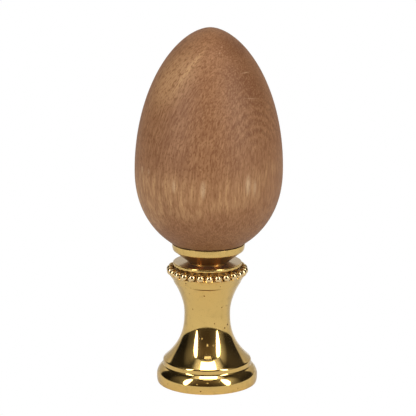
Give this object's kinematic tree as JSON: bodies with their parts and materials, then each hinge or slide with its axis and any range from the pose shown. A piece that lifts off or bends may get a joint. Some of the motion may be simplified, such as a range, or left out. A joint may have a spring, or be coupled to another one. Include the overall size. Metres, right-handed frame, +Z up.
{
  "type": "lamp finial",
  "caption": "Turned wooden egg on a flared brass seat above a beaded collar and a bell-shaped brass base, screwed by a tapped hole onto a lamp harp.",
  "frame": {"origin": "centre of the foot's flat underside", "axes": "+Z up along the finial's axis, from the foot to the top of the egg; +X to the right and -Y towards the viewer of the picture"},
  "size_m": [0.03, 0.03, 0.0735],
  "materials": {
    "polished_brass": "turned and polished brass, light tarnish specks",
    "beaded_brass": "polished brass with brown tarnish between the beads",
    "seat_brass": "turned brass with fine lathe lines",
    "stained_wood": "sanded hardwood, light walnut stain, dull satin"
  },
  "bodies": {
    "root": {"base": "polished_brass", "beaded_collar": "beaded_brass", "seat": "seat_brass", "egg": "stained_wood"}
  },
  "joints": []
}
